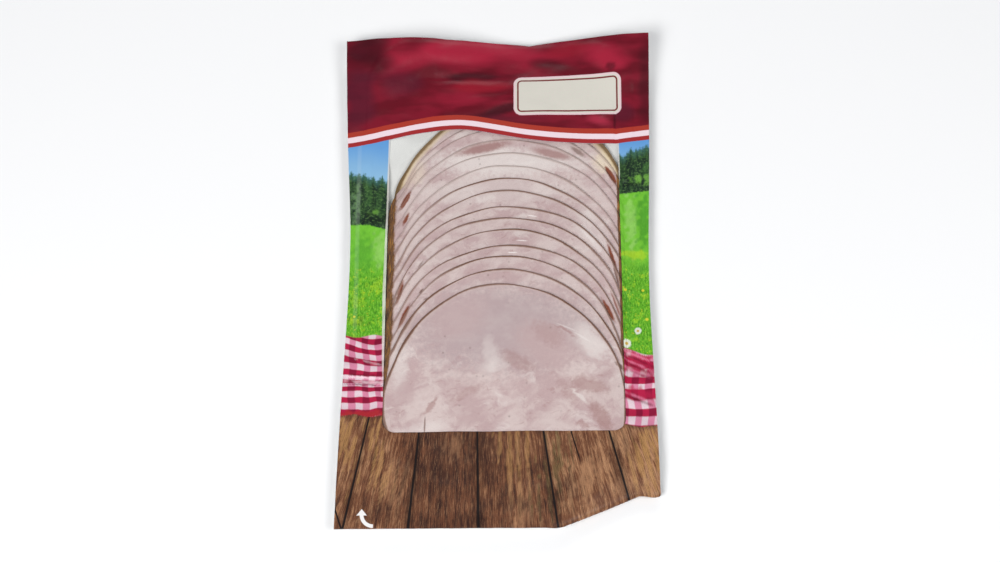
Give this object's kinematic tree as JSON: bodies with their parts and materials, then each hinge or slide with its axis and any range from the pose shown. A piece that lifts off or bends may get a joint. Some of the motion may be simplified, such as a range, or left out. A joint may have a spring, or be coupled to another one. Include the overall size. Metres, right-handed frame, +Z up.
{
  "type": "bacon pack",
  "caption": "Flat sealed vacuum pack of overlapping slices of cooked bacon under a printed film with a clear window and a wide header.",
  "frame": {"origin": "on the floor under the middle of the pack as it lies on its back", "axes": "+Y along the pack towards the printed header, +Z up out of the printed side, +X to the right"},
  "size_m": [0.1502, 0.2484, 0.0157],
  "materials": {
    "printed_film": "glossy printed film in burgundy, red, white, green and wood brown",
    "clear_film": "clear glossy film",
    "back_film": "clear, faintly milky film",
    "cooked_meat": "moist pale pink cooked meat with a brown rind edge"
  },
  "bodies": {
    "root": {"back_film": "back_film", "slice_01": "cooked_meat", "slice_02": "cooked_meat", "slice_03": "cooked_meat", "slice_04": "cooked_meat", "slice_05": "cooked_meat", "slice_06": "cooked_meat", "slice_07": "cooked_meat", "slice_08": "cooked_meat", "slice_09": "cooked_meat", "slice_10": "cooked_meat", "slice_11": "cooked_meat", "slice_12": "cooked_meat", "slice_13": "cooked_meat", "slice_14": "cooked_meat", "slice_15": "cooked_meat", "front_film": "clear_film", "print_layer": "printed_film"}
  },
  "joints": []
}
